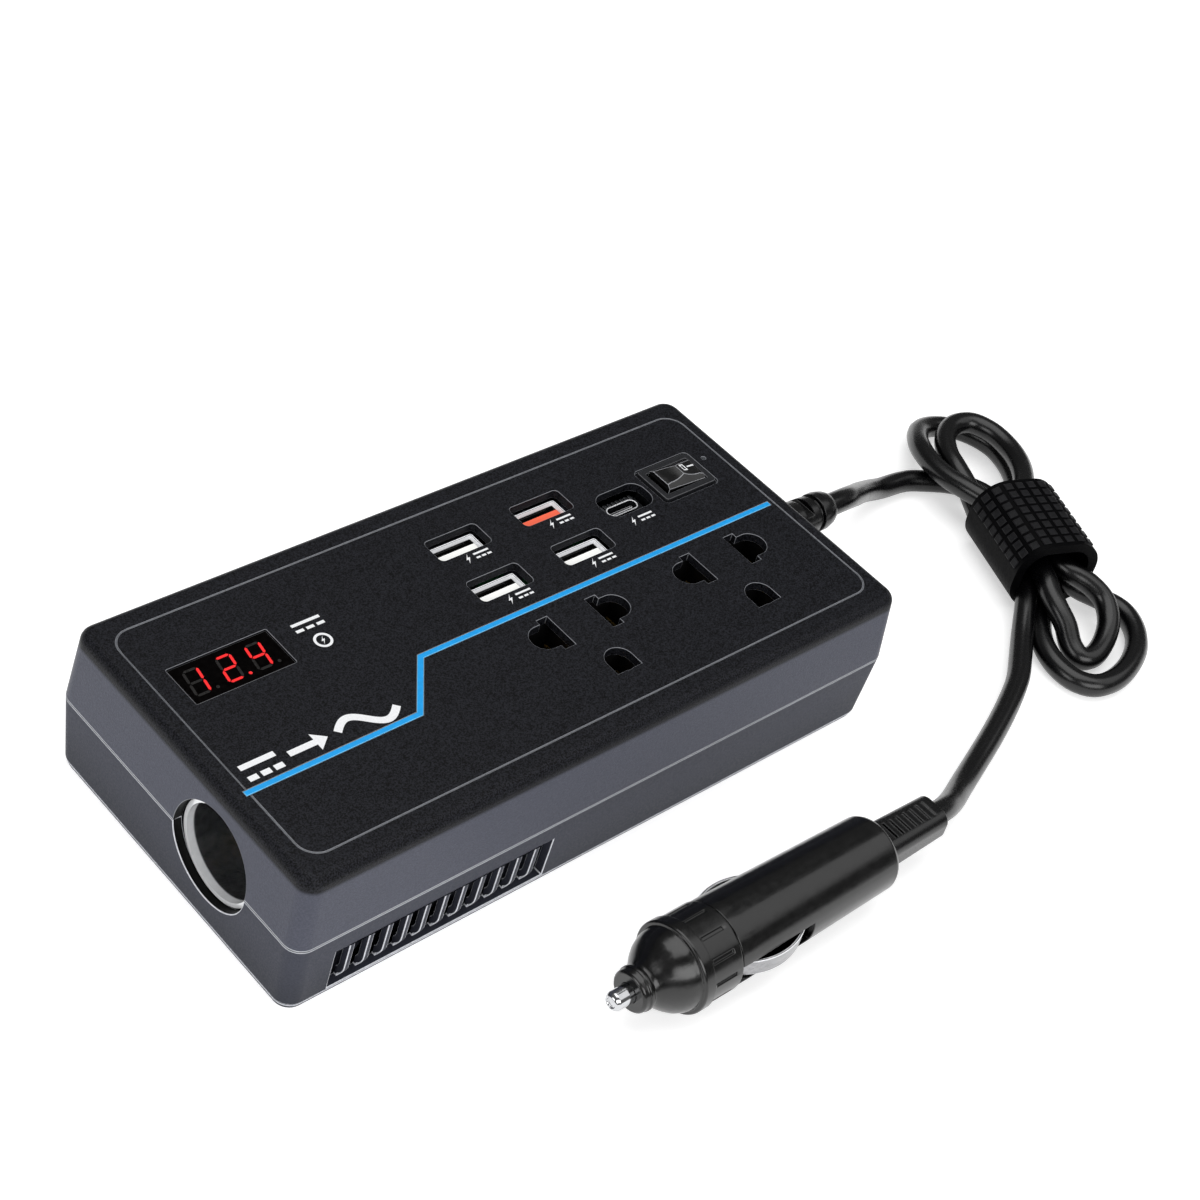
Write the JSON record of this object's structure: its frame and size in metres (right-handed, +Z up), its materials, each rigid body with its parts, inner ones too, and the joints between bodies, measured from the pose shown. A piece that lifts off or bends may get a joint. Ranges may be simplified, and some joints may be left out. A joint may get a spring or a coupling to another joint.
{
  "type": "car power inverter",
  "caption": "Flat car power inverter with universal mains outlets, USB ports, a voltage display, a rocker switch, a lighter socket in one end and a tied cord to a lighter plug.",
  "frame": {"origin": "under the middle of the case, on its base", "axes": "+X along the case towards the cord gland, -X the end with the lighter socket, -Y the front side with the vents, +Z up out of the top"},
  "size_m": [0.2796, 0.1301, 0.0403],
  "materials": {
    "case_black": "fine texture",
    "case_grey": "satin",
    "stripe_blue": "satin",
    "display_black": "gloss",
    "display_red": "gloss",
    "circuit_board": "satin",
    "port_steel": "bright",
    "tongue_white": "satin",
    "tongue_orange": "satin",
    "contact_brass": "bright",
    "black_gloss": "gloss",
    "black_matte": "satin",
    "light_clear": "gloss",
    "chrome_metal": "mirror bright",
    "cream_plastic": "satin",
    "ferrite": "dull",
    "winding": "enamelled wire",
    "heatsink_aluminium": "extruded",
    "screw_steel": "plated",
    "cord_rubber": "satin",
    "fuse_glass": "clear"
  },
  "bodies": {
    "case": {"top_cover": "case_black", "bottom_case": "case_grey", "accent_stripe": "stripe_blue", "display_lens": "display_black", "display_module": "display_red", "display_board": "circuit_board", "usb_a_shell_1": "port_steel", "usb_a_shell_2": "port_steel", "usb_a_shell_3": "port_steel", "usb_a_shell_4": "port_steel", "usb_a_tongue_1": "tongue_white", "usb_a_tongue_2": "tongue_white", "usb_a_tongue_3": "tongue_white", "usb_a_tongue_4": "tongue_orange", "usb_contacts": "contact_brass", "usb_c_shell": "port_steel", "usb_c_tongue": "black_gloss", "usb_c_carrier": "case_grey", "usb_board": "circuit_board", "switch_housing": "black_matte", "switch_terminals": "contact_brass", "power_light": "light_clear", "outlet_carrier": "black_matte", "live_contacts": "contact_brass", "neutral_contacts": "contact_brass", "ground_contacts": "contact_brass", "socket_tube": "chrome_metal", "socket_insulator": "cream_plastic", "socket_center_contact": "contact_brass", "main_board": "circuit_board", "transformer_core": "ferrite", "transformer_winding": "winding", "capacitors": "black_gloss", "choke": "winding", "heatsink": "heatsink_aluminium", "power_transistors": "black_matte", "fan_frame": "black_matte", "case_screws": "screw_steel", "board_screws": "screw_steel", "cord_gland": "cord_rubber", "cord_from_case": "cord_rubber", "cord_hank": "cord_rubber", "cord_to_plug": "cord_rubber", "cord_tie": "cord_rubber", "plug_strain_relief": "cord_rubber", "plug_barrel": "black_gloss", "plug_spring": "screw_steel"},
    "rocker": {"switch_rocker": "black_gloss"},
    "rotor": {"fan_rotor": "black_matte"},
    "nose_cap": {"plug_nose_cap": "black_gloss"},
    "tip": {"plug_tip": "chrome_metal", "plug_fuse": "fuse_glass"},
    "front_contact": {"plug_contact_front": "chrome_metal"},
    "back_contact": {"plug_contact_back": "chrome_metal"}
  },
  "joints": [
    {"name": "rocker_throw", "type": "hinge", "parent": "case", "child": "rocker", "pos_m": [0.0642, 0.0161, 0.0366], "axis": [0, -1, 0], "range_deg": [0, 10]},
    {"name": "fan_spin", "type": "hinge", "parent": "case", "child": "rotor", "pos_m": [-0.032, 0.0322, 0.0185], "axis": [0, 1, 0], "continuous": true},
    {"name": "nose_cap_turn", "type": "hinge", "parent": "case", "child": "nose_cap", "pos_m": [-0.013, -0.078, 0.01045], "axis": [1, 0, 0], "range_deg": [0, 360]},
    {"name": "tip_press", "type": "slide", "parent": "case", "child": "tip", "axis": [1, 0, 0], "range_m": [0, 0.003], "stiffness_N_per_m": 800, "deforming": ["plug_spring"]},
    {"name": "front_contact_press", "type": "slide", "parent": "case", "child": "front_contact", "axis": [0, 1, 0], "range_m": [0, 0.0015], "stiffness_N_per_m": 1500},
    {"name": "back_contact_press", "type": "slide", "parent": "case", "child": "back_contact", "axis": [0, -1, 0], "range_m": [0, 0.0015], "stiffness_N_per_m": 1500}
  ]
}
